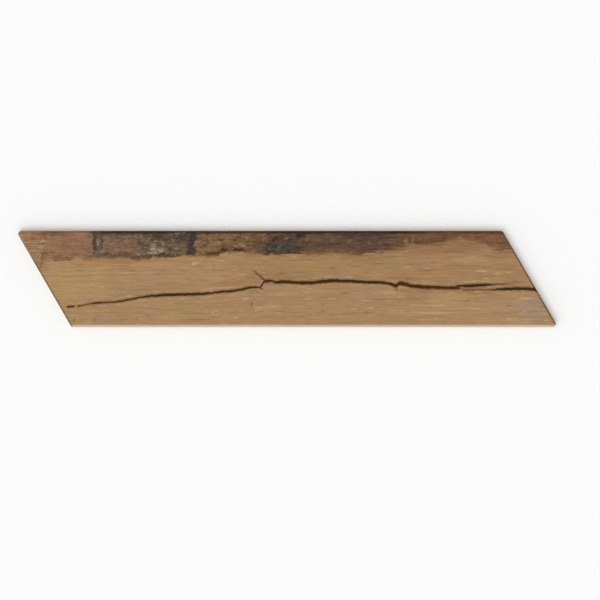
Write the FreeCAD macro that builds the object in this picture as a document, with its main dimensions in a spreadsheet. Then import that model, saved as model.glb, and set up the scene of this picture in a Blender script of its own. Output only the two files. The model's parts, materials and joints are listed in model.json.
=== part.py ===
# Chevron wall tile: one pressed porcelain plank, a parallelogram with its two ends cut at the same slant,
# so that it meets its mirrored neighbour in a V. The tile lies face up: its back is on z = 0, its long
# sides run along X, and its ends lean back towards -X as they rise to +Y.
import FreeCAD, Part
import math
import os

import Sketcher

# Driving dimensions in millimetres and degrees: alias, value, meaning.
DIMENSIONS = (
    ("side_length", 405.0, "length of each long side, corner to corner"),
    ("face_width", 80.0, "width across the face, square to the long sides"),
    ("cut_angle", 60.0, "acute angle between an end and a long side, in degrees"),
    ("tile_thickness", 9.5, "thickness over the keying ribs of the back"),
    ("corner_radius", 2.5, "rounding of the four upright corners"),
    ("arris_radius", 1.8, "rounding of the edge all round the face"),
    ("back_bevel", 0.6, "bevel of the edge all round the back"),
    ("rib_pitch", 18.0, "spacing of the keying ribs, square to the ribs"),
    ("rib_width", 2.5, "width of one keying rib"),
    ("recess_depth", 0.7, "depth of the recesses between the ribs"),
    ("recess_draft", 30.0, "lean of the recess walls, in degrees"),
    ("back_rim", 5.0, "least plain border around the ribbed field of the back"),
)

TILE_LABEL = "chevron_tile"
SHEET = "sizes"

# What follows from the driving dimensions, as expressions on the sheet.
ANGLE = f"({SHEET}.cut_angle * 1 deg)"
SLANT = f"sin({ANGLE})"
RECESS_WIDTH = f"({SHEET}.rib_pitch - {SHEET}.rib_width)"
SLANT_PITCH = f"({SHEET}.rib_pitch / {SLANT})"
FIELD_MARGIN = f"(2 * {SHEET}.back_rim - {SHEET}.rib_width)"
ROW_COUNT = f"floor(({SHEET}.face_width - {FIELD_MARGIN}) / {SHEET}.rib_pitch)"
COLUMN_COUNT = f"floor(({SHEET}.side_length * {SLANT} - {FIELD_MARGIN}) / {SHEET}.rib_pitch)"
FIRST_ROW = f"(({ROW_COUNT} - 1) / 2 * {SHEET}.rib_pitch)"
FIRST_COLUMN = f"(({COLUMN_COUNT} - 1) / 2 * {SLANT_PITCH} - {FIRST_ROW} / tan({ANGLE}))"

# Share of a cut's volume by which it may differ from what was drawn.
VOLUME_TOLERANCE = 0.001

def make_sheet(doc):
    sheet = doc.addObject("Spreadsheet::Sheet", SHEET)
    for row, (alias, value, meaning) in enumerate(DIMENSIONS, start=1):
        sheet.set(f"A{row}", meaning)
        sheet.set(f"B{row}", str(value))
        sheet.setAlias(f"B{row}", alias)
    doc.recompute()
    return sheet

def value_of(item, expression):
    """The number that an expression on the sheet comes to."""
    result = item.evalExpression(expression)
    return float(getattr(result, "Value", result))

def new_sketch(body, name):
    """A sketch on the plane of the tile's back."""
    sketch = body.newObject("Sketcher::SketchObject", name)
    plane = next(feature for feature in body.Origin.OriginFeatures if feature.Role == "XY_Plane")
    sketch.AttachmentSupport = [(plane, "")]
    sketch.MapMode = "FlatFace"
    return sketch

def add_dimension(sketch, name, constraint, expression):
    index = sketch.addConstraint(constraint)
    sketch.renameConstraint(index, name)
    sketch.setExpression(f"Constraints.{name}", expression)

def draw_parallelogram(sketch, centre, side, height):
    """Four joined lines about a centre: 0 lower side, 1 right end, 2 upper side, 3 left end."""
    lean = f"180 deg - {ANGLE}"
    lean_now = math.radians(value_of(sketch, lean))
    side_now = value_of(sketch, side)
    height_now = value_of(sketch, height)
    along = FreeCAD.Vector(side_now / 2, 0, 0)
    up = FreeCAD.Vector(height_now / math.tan(lean_now) / 2, height_now / 2, 0)
    corners = [centre - along - up, centre + along - up, centre + along + up, centre - along + up]
    for k in range(4):
        sketch.addGeometry(Part.LineSegment(corners[k], corners[(k + 1) % 4]), False)
    for k in range(4):
        sketch.addConstraint(Sketcher.Constraint("Coincident", k, 2, (k + 1) % 4, 1))
    for k in (0, 2):
        sketch.addConstraint(Sketcher.Constraint("Horizontal", k))
    sketch.addConstraint(Sketcher.Constraint("Parallel", 1, 3))
    add_dimension(sketch, "side", Sketcher.Constraint("Distance", 0, side_now), side)
    add_dimension(sketch, "height", Sketcher.Constraint("DistanceY", 1, 1, 1, 2, height_now), height)
    add_dimension(sketch, "lean", Sketcher.Constraint("Angle", 1, lean_now), lean)

def make_slab(doc, body):
    outline = new_sketch(body, "outline")
    draw_parallelogram(outline, FreeCAD.Vector(0, 0, 0), f"{SHEET}.side_length", f"{SHEET}.face_width")
    outline.addConstraint(Sketcher.Constraint("Symmetric", 0, 1, 2, 1, -1, 1))
    slab = body.newObject("PartDesign::Pad", "slab")
    slab.Profile = outline
    slab.setExpression("Length", f"{SHEET}.tile_thickness")
    doc.recompute()

def edges_between(shape, low, high):
    """Names of the edges whose lowest and highest points are at these heights."""
    close = 1e-6
    found = []
    for k, edge in enumerate(shape.Edges, start=1):
        box = edge.BoundBox
        if abs(box.ZMin - low) < close and abs(box.ZMax - high) < close:
            found.append(f"Edge{k}")
    return found

def dress_edges(doc, body, kind, name, heights, sized, alias):
    """A fillet or chamfer on the edges between two heights of the body so far."""
    base = body.Tip
    feature = body.newObject(kind, name)
    feature.Base = (base, edges_between(base.Shape, *heights))
    feature.setExpression(sized, f"{SHEET}.{alias}")
    doc.recompute()

def dress_the_slab(doc, body):
    top = body.Shape.BoundBox.ZMax
    dress_edges(doc, body, "PartDesign::Fillet", "pressed_corners", (0, top), "Radius", "corner_radius")
    dress_edges(doc, body, "PartDesign::Fillet", "face_arris", (top, top), "Radius", "arris_radius")
    dress_edges(doc, body, "PartDesign::Chamfer", "back_edge", (0, 0), "Size", "back_bevel")

def draw_first_recess(body):
    """The recess of the lowest row and first column, placed from the middle of the back."""
    sketch = new_sketch(body, "first_recess")
    first = FreeCAD.Vector(-value_of(sketch, FIRST_COLUMN), -value_of(sketch, FIRST_ROW), 0)
    draw_parallelogram(sketch, first, f"{RECESS_WIDTH} / {SLANT}", RECESS_WIDTH)
    middle = sketch.addGeometry(Part.Point(first), True)
    sketch.addConstraint(Sketcher.Constraint("Symmetric", 0, 1, 2, 1, middle, 1))
    to_origin_x = Sketcher.Constraint("DistanceX", middle, 1, -1, 1, -first.x)
    to_origin_y = Sketcher.Constraint("DistanceY", middle, 1, -1, 1, -first.y)
    add_dimension(sketch, "first_column", to_origin_x, FIRST_COLUMN)
    add_dimension(sketch, "first_row", to_origin_y, FIRST_ROW)
    return sketch

def press_keying_recesses(doc, body):
    """A lattice of shallow drafted recesses in the back, which leaves the keying ribs standing."""
    slab_volume = body.Shape.Volume
    sketch = draw_first_recess(body)
    recess = body.newObject("PartDesign::Pocket", "recess")
    recess.Profile = sketch
    recess.Reversed = True
    recess.setExpression("Length", f"{SHEET}.recess_depth")
    recess.setExpression("TaperAngle", f"-{SHEET}.recess_draft * 1 deg")
    doc.recompute()
    one_recess = slab_volume - recess.Shape.Volume

    lattice = body.newObject("PartDesign::LinearPattern", "keying_lattice")
    lattice.Originals = [recess]
    lattice.Direction = (sketch, ["Edge1"])
    lattice.Mode = "Spacing"
    lattice.setExpression("Offset", SLANT_PITCH)
    lattice.setExpression("Occurrences", COLUMN_COUNT)
    lattice.Direction2 = (sketch, ["Edge2"])
    lattice.Mode2 = "Spacing"
    lattice.Spacings2 = []  # no row has a spacing of its own, so all follow Offset2
    lattice.setExpression("Offset2", SLANT_PITCH)
    lattice.setExpression("Occurrences2", ROW_COUNT)
    body.Tip = lattice
    doc.recompute()

    removed = slab_volume - body.Shape.Volume
    expected = one_recess * lattice.Occurrences * lattice.Occurrences2
    print(f"recesses: {lattice.Occurrences} x {lattice.Occurrences2}, {one_recess:.1f} mm3 each")
    if one_recess <= 0 or abs(removed - expected) > VOLUME_TOLERANCE * expected:
        raise RuntimeError(f"the recesses took {removed:.1f} mm3 from the back, not {expected:.1f}")

def check_document(doc, body):
    for item in doc.Objects:
        if {"Invalid", "Error"} & set(item.State):
            raise RuntimeError(f"{item.Label} did not build: {item.State}")
    shape = body.Shape
    if shape.isNull() or not shape.isValid() or len(shape.Solids) != 1:
        raise RuntimeError(f"{body.Label} is not one valid solid")

def main():
    doc = FreeCAD.newDocument("chevron_wall_tile")
    make_sheet(doc)
    body = doc.addObject("PartDesign::Body", TILE_LABEL)
    body.Label = TILE_LABEL
    make_slab(doc, body)
    dress_the_slab(doc, body)
    press_keying_recesses(doc, body)
    check_document(doc, body)
    os.makedirs("parts", exist_ok=True)
    body.Shape.exportStep(f"parts/{body.Label}.step")
    box = body.Shape.BoundBox
    print(f"{body.Label}: {box.XLength:.2f} x {box.YLength:.2f} x {box.ZLength:.2f} mm")
    print(f"volume {body.Shape.Volume:.0f} mm3, {len(body.Shape.Faces)} faces")

main()
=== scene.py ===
import json
import math
import bmesh
import bpy
import numpy as np
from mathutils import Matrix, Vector


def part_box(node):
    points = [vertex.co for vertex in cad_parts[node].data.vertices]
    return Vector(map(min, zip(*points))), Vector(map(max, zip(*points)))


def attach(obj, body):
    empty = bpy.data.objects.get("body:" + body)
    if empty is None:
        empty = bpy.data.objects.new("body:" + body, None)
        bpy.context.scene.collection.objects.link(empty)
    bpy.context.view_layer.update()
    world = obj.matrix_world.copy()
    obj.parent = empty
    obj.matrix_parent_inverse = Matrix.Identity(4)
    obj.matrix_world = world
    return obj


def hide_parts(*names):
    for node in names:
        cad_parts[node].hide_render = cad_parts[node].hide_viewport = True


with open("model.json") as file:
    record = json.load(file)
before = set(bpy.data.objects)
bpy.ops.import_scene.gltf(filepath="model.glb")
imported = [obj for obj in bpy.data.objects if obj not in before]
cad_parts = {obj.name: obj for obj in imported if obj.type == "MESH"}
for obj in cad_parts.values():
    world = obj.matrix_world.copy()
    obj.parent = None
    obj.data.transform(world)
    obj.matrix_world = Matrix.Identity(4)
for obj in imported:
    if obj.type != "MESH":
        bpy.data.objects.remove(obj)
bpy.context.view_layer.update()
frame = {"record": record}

# Lengths in the dictionaries are millimetres in the tile's own frame, and colours are sRGB from 0 to 255.
# A pattern is a noise: its length, height, seed, detail and roughness.
# A cut is a pair of values, between which something comes in or fades out.
mm = 0.001


# Node trees

easing = {"interpolation_type": "SMOOTHSTEP", "clamp": False}  # it is level past its ends without a clamp
dabFade = (1.5, 0.1)  # where a dab is gone and where it is full: squared distance, in reaches


class Wire:  # one socket of a node tree, so that node maths reads as maths
    def __init__(self, bench, socket):
        self.bench = bench
        self.socket = socket

    def output(self, name):
        return Wire(self.bench, self.socket.node.outputs[name])

    def math(self, operation, *others):
        return self.bench.math(operation, self, *others)

    def __add__(self, other):
        return self.math("ADD", other)

    def __radd__(self, other):
        return self.bench.math("ADD", other, self)

    def __sub__(self, other):
        return self.math("SUBTRACT", other)

    def __rsub__(self, other):
        return self.bench.math("SUBTRACT", other, self)

    def __mul__(self, other):
        return self.math("MULTIPLY", other)

    def __rmul__(self, other):
        return self.bench.math("MULTIPLY", other, self)

    def __truediv__(self, other):
        return self.math("DIVIDE", other)

    def __rtruediv__(self, other):
        return self.bench.math("DIVIDE", other, self)

    def __neg__(self):
        return self.math("MULTIPLY", -1.0)

    def __abs__(self):
        return self.math("ABSOLUTE")


class Bench:  # a node tree that is being wired up
    def __init__(self, tree):
        self.tree = tree

    def add(self, kind, settings=None, sockets=None, out=0):
        node = self.tree.nodes.new(kind)
        for name, value in (settings or {}).items():
            if name == "points":
                fillCurve(node.mapping, value)
            else:
                setattr(node, name, value)
        for key, value in (sockets or {}).items():
            if isinstance(value, Wire):
                self.tree.links.new(value.socket, node.inputs[key])
            else:
                node.inputs[key].default_value = value
        return Wire(self, node.outputs[out]) if node.outputs else None

    def math(self, operation, *values):
        return self.add("ShaderNodeMath", {"operation": operation}, dict(enumerate(values)))

    def smallest(self, first, second):
        return self.math("MINIMUM", first, second)

    def largest(self, first, second):
        return self.math("MAXIMUM", first, second)

    def distance(self, x, y):
        return (x * x + y * y).math("SQRT")

    def ramp(self, value, low, high):  # eased from 0 at low to 1 at high
        return self.add("ShaderNodeMapRange", easing, {"Value": value, "From Min": low, "From Max": high})

    def within(self, value, low, high, soft):  # 1 between low and high
        return self.ramp(value, low - soft, low + soft) * (1 - self.ramp(value, high - soft, high + soft))

    def along(self, x, points):  # a curve through given points, level past its ends
        left, right = points[0][0], points[-1][0]
        low = min(point[1] for point in points)
        high = max(point[1] for point in points)
        unit = [((at - left) / (right - left), (value - low) / (high - low)) for at, value in points]
        found = self.add("ShaderNodeFloatCurve", {"points": unit}, {"Value": (x - left) / (right - left)})
        return found * (high - low) + low

    def vector(self, x, y, z=0.0):
        return self.add("ShaderNodeCombineXYZ", {}, {0: x, 1: y, 2: z})

    def noise(self, x, y, pattern, z=0.0):  # about -0.5 to 0.5
        length, height, seed, detail, rough = pattern
        place = self.vector(x / length, y / height, z / height + seed)
        found = self.add("ShaderNodeTexNoise", {"noise_dimensions": "3D"},
                         {"Vector": place, "Scale": 1.0, "Detail": detail, "Roughness": rough})
        return found - 0.5

    def noises(self, x, y, patterns):
        return {name: self.noise(x, y, pattern) for name, pattern in patterns.items()}

    def blend(self, amount, under, over):
        return self.add("ShaderNodeMix", {"data_type": "RGBA"}, {0: amount, 6: under, 7: over}, out=2)

    def shade(self, colour, amount):  # lighter or darker by a share
        return self.add("ShaderNodeHueSaturation", {}, {"Color": colour, "Value": 1 + amount})

    def spot(self, place, centre, reach, strength):  # a soft oval, full in its middle
        scale = (1 / reach[0], 1 / reach[1], 0.0)
        shift = (-centre[0] / reach[0], -centre[1] / reach[1], 0.0)
        away = self.add("ShaderNodeVectorMath", {"operation": "MULTIPLY_ADD"},
                        {0: place, 1: scale, 2: shift})
        far = self.add("ShaderNodeVectorMath", {"operation": "DOT_PRODUCT"},
                       {0: away, 1: away}, out="Value")
        gone, full = dabFade
        return self.add("ShaderNodeMapRange", easing, {
            "Value": far, "From Min": gone, "From Max": full, "To Min": 0.0, "To Max": strength})

    def dab(self, colour, place, dabs, tint):  # dabs: tint, middle, reach each way, strength
        for name, centre, reach, strength in dabs:
            colour = self.blend(self.spot(place, centre, reach, strength), colour, tint[name])
        return colour


def fillCurve(mapping, points):
    curve = mapping.curves[0]
    mapping.extend = "HORIZONTAL"
    while len(curve.points) < len(points):
        curve.points.new(1.0, 1.0)
    for point, place in zip(curve.points, points):
        point.location = place
        point.handle_type = "AUTO_CLAMPED"
    mapping.update()


def strayed(x, y, *strays):  # a place moved by noises, each with its reach along and across the tile
    for noise, (alongReach, acrossReach) in strays:
        x = x + noise * alongReach
        y = y + noise * acrossReach
    return x, y


# The tile's sizes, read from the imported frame

mounts = {mount["name"]: mount for mount in frame["record"]["mounts"]}
tileLow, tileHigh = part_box("chevron_tile")
endNormal = mounts["right_end"]["axis"]
cutAngle = math.atan2(endNormal[0], endNormal[1])
sideLength = mounts["right_end"]["pos_m"][0] - mounts["left_end"]["pos_m"][0]
faceWidth = tileHigh.y - tileLow.y
thickness = tileHigh.z - tileLow.z
sharpTip = sideLength / 2 + faceWidth / 2 / math.tan(cutAngle)
cornerRadius = (sharpTip - tileHigh.x) / (1 / math.tan(cutAngle / 2) - 1)
print(f"tile {sideLength / mm:.1f} x {faceWidth / mm:.1f} x {thickness / mm:.1f} mm,"
      f" ends cut at {math.degrees(cutAngle):.1f} degrees, corners {cornerRadius / mm:.2f} mm")


# The print: a split and a weathered edge, shared by the relief and the colours

split = {
    "strands": [  # each a route along the tile, and how wide it opens there: below nothing it is closed
        {"route": [(-184, -23.0), (-176, -23.0), (-172, -22.2), (-165, -20.9), (-157, -19.7),
                   (-147, -19.3), (-137, -18.1), (-119, -14.8), (-110, -13.9), (-97, -13.1),
                   (-81, -12.7), (-69, -12.2), (-57, -11.0), (-47, -9.9), (-38, -8.8), (-33, -7.4),
                   (-26, -6.8), (-21.5, -7.8), (-18.5, -9.2)],
         "opening": [(-184, -8.0), (-182.2, 1.8), (-177.6, 1.6), (-175.6, -0.6), (-173.6, 1.4),
                     (-170, 0.8), (-163, 1.1), (-157.5, 1.9), (-151, 1.3), (-133, 1.7), (-124, 1.7),
                     (-117, 2.0), (-103, 2.4), (-96, 2.7), (-85, 2.5), (-76, 2.2), (-67, 2.4),
                     (-61, 1.7), (-53, 2.1), (-43, 2.0), (-33, 2.2), (-25, 1.7), (-20.5, 0.9),
                     (-18.5, -8.0)]},
        {"route": [(-22.5, -6.8), (-20, -4.2), (-17.7, -1.6), (-13, -1.5), (-9, -2.8), (-5, -2.2),
                   (1, -2.3), (7, -3.0), (19, -3.0), (29, -2.0), (41, -1.5), (53, -1.6), (63, -2.4),
                   (79, -2.9), (84, -3.6), (87.5, -4.3), (90, -5.6), (92, -4.8), (94.5, -3.6),
                   (97, -4.2), (100, -4.7), (104, -5.7), (108, -6.1), (113, -6.5), (129, -7.1),
                   (139, -7.3), (148, -8.2)],
         "opening": [(-23.5, -8.0), (-22, 1.8), (-18, 2.6), (-13, 2.1), (-8, 2.5), (-3, 2.8), (2, 2.8),
                     (7, 2.7), (14, 3.0), (27, 3.1), (39, 3.0), (47, 2.7), (55, 2.9), (67, 2.5),
                     (78, 2.5), (85, 2.7), (90, 3.6), (95, 3.4), (101, 3.2), (108, 3.3), (116, 2.9),
                     (128, 2.7), (137, 2.9), (142, 2.2), (148, -8.0)]},
        {"route": [(138, -6.8), (143, -5.8), (151, -5.6), (159, -5.2), (167, -4.8), (177, -4.2),
                   (188, -3.5)],
         "opening": [(138, -8.0), (141, 1.5), (147, 2.4), (155, 2.9), (162, 2.6), (168, 1.9),
                     (174, 0.9), (181, 0.5), (188, -8.0)]},
        {"route": [(143, -8.3), (154, -8.9), (169, -8.9), (178, -8.4), (186, -8.1), (196, -8.1),
                   (204, -8.5), (213, -9.8)],
         "opening": [(143, -8.0), (147, 0.8), (161, 0.7), (169, 0.9), (176, 1.9), (184, 2.7),
                     (191, 2.6), (201, 2.7), (207, 3.2), (213, 3.2)]},
    ],
    "ticks": [  # short straight side cracks: from, to, width
        ((-17.6, -1.6), (-27.3, 6.6), 1.2),
        ((90.2, -6.4), (91.0, -8.8), 0.9),
    ],
    "wander": 1.8,  # how far the edges stray
    "stray": (4.0, 4.0, 3.7, 3.0, 0.6),  # the pattern that they stray by
    "taper": 0.6,  # how much of its width a side crack loses on the way
    "wallCut": (-0.1, 0.9),  # the groove's wall, by the distance inside its edge
    "depth": 0.55,
}

weathering = {
    "border": [(-226, 20.0), (-206, 17.6), (-197, 17.4), (-193, 15.4), (-186, 14.8), (-179, 15.9),
               (-173, 17.5), (-167, 16.5), (-155, 17.2), (-143, 16.8), (-137, 17.6), (-131, 17.2),
               (-125, 15.4), (-119, 17.2), (-107, 17.3), (-101, 18.2), (-92, 18.2), (-85, 19.5),
               (-77, 19.0), (-66, 18.6), (-60, 18.9), (-54, 21.2), (-48, 22.3), (-39, 22.6),
               (-35, 22.0), (-30, 20.8), (-22, 20.6), (-17.5, 20.4), (-11, 20.3), (-5, 19.7), (0, 20.7),
               (13, 20.5), (19, 20.0), (25, 20.8), (55, 20.4), (61, 19.6), (65, 21.6), (73, 22.5),
               (80, 23.4), (91, 24.7), (98, 26.4), (106, 28.7), (121, 29.2), (127, 29.4), (134, 31.9),
               (143, 32.8), (151, 30.9), (161, 30.2), (166, 28.4), (173, 25.0), (190, 24.3)],
    "fade": [(-226, 4.0), (-196, 2.0), (-160, 0.8), (-40, 0.6), (12, 0.6), (30, 1.3), (62, 1.0),
             (95, 2.4), (160, 2.2), (190, 2.6)],  # half the width over which the border fades
    "ragged": (5.0, 2.4, 11.3, 4.0, 0.7), "bites": 6.0,  # small bites out of the border
    "feathered": (24.0, 1.4, 12.1, 3.0, 0.5), "wisps": 6.0,  # long wisps, more where it fades more
    "wornCut": (-1.0, 1.0),  # across the border, in shares of the fade
    "pits": (6.0, 1.6, 21.0, 3.0, 0.6), "pitLevel": 0.85,  # the level keeps every pit below the face
    "depth": 0.22,
}

grain = {
    "fibres": (45.0, 1.6, 5.0, 3.0, 0.55), "level": 0.6,  # the level keeps every fibre below the face
    "depth": 0.05,
}


def strandGap(bench, x, y, strand):  # how far inside the strand, below nothing outside it
    return bench.along(x, strand["opening"]) / 2 - abs(y - bench.along(x, strand["route"]))


def tickGap(bench, x, y, tick):
    (startX, startY), (endX, endY), width = tick
    reachX, reachY = endX - startX, endY - startY
    share = ((x - startX) * reachX + (y - startY) * reachY) / (reachX ** 2 + reachY ** 2)
    held = bench.smallest(bench.largest(share, 0.0), 1.0)
    away = bench.distance(x - startX - held * reachX, y - startY - held * reachY)
    return width / 2 * (1 - split["taper"] * held) - away


def printFields(bench, place):  # what both the relief and the colours are made from
    axes = bench.add("ShaderNodeSeparateXYZ", {}, {0: place})
    x = axes / mm
    y = axes.output("Y") / mm
    z = axes.output("Z") / mm
    wander = split["wander"]
    strayX, strayY = strayed(x, y, (bench.noise(x, y, split["stray"]), (wander, wander)))
    gaps = [strandGap(bench, strayX, strayY, strand) for strand in split["strands"]]
    gaps += [tickGap(bench, strayX, strayY, tick) for tick in split["ticks"]]
    gap = gaps[0]
    for other in gaps[1:]:
        gap = bench.largest(gap, other)
    fade = bench.along(x, weathering["fade"])
    bites = bench.noise(x, y, weathering["ragged"]) * weathering["bites"]
    wisps = bench.noise(x, y, weathering["feathered"]) * fade * weathering["wisps"]
    inside = y - bench.along(x, weathering["border"]) + bites + wisps
    fromMiddle = abs(x * math.sin(cutAngle) + y * math.cos(cutAngle))
    fromEnd = sideLength / 2 * math.sin(cutAngle) / mm - fromMiddle
    fromSide = faceWidth / 2 / mm - abs(y)
    return {"x": x, "y": y, "z": z, "gap": gap, "fade": fade, "end": fromEnd, "side": fromSide,
            "edge": bench.smallest(fromSide, fromEnd),
            "worn": bench.ramp(inside / fade, *weathering["wornCut"])}


# The tile's mesh: a fine grid for the face, then rings round the arris, the sides and the back

tileMesh = {
    "longSteps": 360,
    "crossSteps": 200,
    "halfCornerSteps": 2,
    "arrisRadius": 1.8,
    "arrisSteps": 4,
    "sideSteps": 3,
    "backBevel": 0.6,
    "sharpAngle": 30.0,  # an edge that turns by more stays sharp
    "weld": 0.01,  # points closer than this are joined
}

keying = {"pitch": 18.0, "ribWidth": 2.5, "depth": 0.7, "draft": 30.0, "rim": 5.0}


def outlineFrame():  # each side's points: the corner centre each turns about, and its outward direction
    turn = math.pi / 2 - cutAngle
    headings = [-math.pi / 2, turn, math.pi / 2, math.pi + turn]
    lean = faceWidth / 2 / math.tan(cutAngle)
    corners = np.array([(-sideLength / 2 + lean, -faceWidth / 2), (sideLength / 2 + lean, -faceWidth / 2),
                        (sideLength / 2 - lean, faceWidth / 2), (-sideLength / 2 - lean, faceWidth / 2)])
    outward = np.array([(math.cos(heading), math.sin(heading)) for heading in headings])
    centres = []
    for k in range(4):
        before, after = outward[k - 1], outward[k]
        centres.append(corners[k] - cornerRadius * (before + after) / (1 + before @ after))
    arc = tileMesh["halfCornerSteps"]
    sides = []
    for k in range(4):
        steps = tileMesh["longSteps"] if k % 2 == 0 else tileMesh["crossSteps"]
        straight = steps - 2 * arc + 1
        heading = headings[k]
        earlier = headings[k - 1] - (2 * math.pi if k == 0 else 0)
        later = headings[(k + 1) % 4] + (2 * math.pi if k == 3 else 0)
        angles = np.concatenate([np.linspace((earlier + heading) / 2, heading, arc + 1)[:-1],
                                 np.full(straight, heading),
                                 np.linspace(heading, (heading + later) / 2, arc + 1)[1:]])
        share = np.concatenate([np.zeros(arc), np.linspace(0, 1, straight), np.ones(arc)])[:, None]
        middle = centres[k] * (1 - share) + centres[(k + 1) % 4] * share
        sides.append((middle, np.stack([np.cos(angles), np.sin(angles)], 1)))
    return sides


def facePoints(sides, inset):  # the four sides' points, filled in between
    bottom, right, top, left = [middle + (cornerRadius - inset) * outward for middle, outward in sides]
    top = top[::-1]
    left = left[::-1]
    u = np.linspace(0, 1, len(bottom))[None, :, None]
    v = np.linspace(0, 1, len(right))[:, None, None]
    across = (1 - v) * bottom[None] + v * top[None]
    along = (1 - u) * left[:, None] + u * right[:, None]
    square = (1 - v) * ((1 - u) * bottom[0] + u * bottom[-1]) + v * ((1 - u) * top[0] + u * top[-1])
    return across + along - square


def ringLevels(arris):  # inset and height of each ring, from the face down to the back
    levels = []
    for k in range(1, tileMesh["arrisSteps"] + 1):
        turned = math.pi / 2 * k / tileMesh["arrisSteps"]
        levels.append((arris * (1 - math.sin(turned)), thickness - arris * (1 - math.cos(turned))))
    bevel = tileMesh["backBevel"] * mm
    for height in np.linspace(thickness - arris, bevel, tileMesh["sideSteps"] + 1)[1:]:
        levels.append((0.0, height))
    levels.append((bevel, 0.0))
    return levels


def slanted(a, b):  # x of a place in the lattice: a is square to the ends, b to the long sides
    return a / math.sin(cutAngle) - b / math.tan(cutAngle)


def latticeCount():
    margin = 2 * keying["rim"] - keying["ribWidth"]
    columns = math.floor((sideLength / mm * math.sin(cutAngle) - margin) / keying["pitch"])
    rows = math.floor((faceWidth / mm - margin) / keying["pitch"])
    return columns, rows


def latticeBorder():  # the points round the ribbed field, corner to corner
    half = keying["pitch"] / 2
    mouth = half - keying["ribWidth"] / 2
    floor = mouth - keying["depth"] * math.tan(math.radians(keying["draft"]))
    cell = [-half, -mouth, -floor, floor, mouth]  # where a cell's surface bends

    def run(count):
        marks = [(k - (count - 1) / 2) * keying["pitch"] + step for k in range(count) for step in cell]
        return marks + [count * half]

    long, cross = [run(count) for count in latticeCount()]
    square = [(a, cross[0]) for a in long[:-1]] + [(long[-1], b) for b in cross[:-1]]
    square += [(a, cross[-1]) for a in long[:0:-1]] + [(long[0], b) for b in cross[:0:-1]]
    return [(slanted(a, b), b) for a, b in square]


def closeBack(shape, rings):  # fills the flat rim between the last ring and the ribbed field
    shape.verts.ensure_lookup_table()
    rim = []
    for ring in rings:
        for k in range(len(ring)):
            pair = shape.verts[ring[k]], shape.verts[ring[(k + 1) % len(ring)]]
            rim.append(shape.edges.get(pair) or shape.edges.new(pair))
    filled = bmesh.ops.triangle_fill(shape, edges=rim, use_beauty=True)
    for item in filled["geom"]:
        if isinstance(item, bmesh.types.BMFace):
            item.normal_update()
            if item.normal.z > 0:
                item.normal_flip()


def softenEdges(shape):
    shape.normal_update()
    for edge in shape.edges:
        if len(edge.link_faces) == 2 and edge.calc_face_angle() > math.radians(tileMesh["sharpAngle"]):
            edge.smooth = False
    for part in shape.faces:
        part.smooth = True


def makeTileMesh():
    sides = outlineFrame()
    arris = tileMesh["arrisRadius"] * mm
    face = facePoints(sides, arris)
    crossCount, longCount = face.shape[:2]
    flat = face.reshape(-1, 2)
    points = [np.column_stack([flat, np.full(len(flat), thickness)])]
    index = np.arange(len(flat)).reshape(crossCount, longCount)
    corner = index[:-1, :-1], index[:-1, 1:], index[1:, 1:], index[1:, :-1]
    quads = [np.stack([part.ravel() for part in corner], 1)]

    # rings round the face, each joined to the one above it
    loop = np.concatenate([index[0, :-1], index[:-1, -1], index[-1, :0:-1], index[:0:-1, 0]])
    middle = np.concatenate([side[0][:-1] for side in sides])
    outward = np.concatenate([side[1][:-1] for side in sides])
    count = len(flat)
    for inset, height in ringLevels(arris):
        ring = middle + (cornerRadius - inset) * outward
        points.append(np.column_stack([ring, np.full(len(ring), height)]))
        lower = np.arange(count, count + len(ring))
        quads.append(np.stack([loop, lower, np.roll(lower, -1), np.roll(loop, -1)], 1))
        loop = lower
        count += len(ring)
    border = np.array(latticeBorder()) * mm
    points.append(np.column_stack([border, np.zeros(len(border))]))

    mesh = bpy.data.meshes.new("printed_tile")
    mesh.from_pydata(np.concatenate(points).tolist(), [], np.concatenate(quads).tolist())
    shape = bmesh.new()
    shape.from_mesh(mesh)
    closeBack(shape, (loop, np.arange(count, count + len(border))))
    softenEdges(shape)
    shape.to_mesh(mesh)
    shape.free()
    print(f"tile mesh: {len(mesh.vertices)} vertices, {len(mesh.polygons)} faces")
    return mesh


# Relief and keying lattice, by geometry nodes

def pressedFace(bench, given):  # the face, lowered along the split, the worn band and the grain
    field = printFields(bench, bench.add("GeometryNodeInputPosition"))
    x, y = field["x"], field["y"]
    upper = field["z"].math("GREATER_THAN", thickness / 2 / mm)
    onFace = bench.ramp(field["edge"], 0.0, tileMesh["arrisRadius"]) * upper
    groove = bench.ramp(field["gap"], *split["wallCut"]) * given.output("Split depth")
    pits = bench.noise(x, y, weathering["pits"]) + weathering["pitLevel"]
    eroded = field["worn"] * pits * given.output("Band depth") / field["fade"]
    fibres = bench.noise(x, y, grain["fibres"]) + grain["level"]
    lowered = (groove + eroded + fibres * given.output("Grain depth")) * onFace * -mm
    return bench.add("GeometryNodeSetPosition", {},
                     {"Geometry": given.output("Tile"), "Offset": bench.vector(0.0, 0.0, lowered)})


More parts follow.
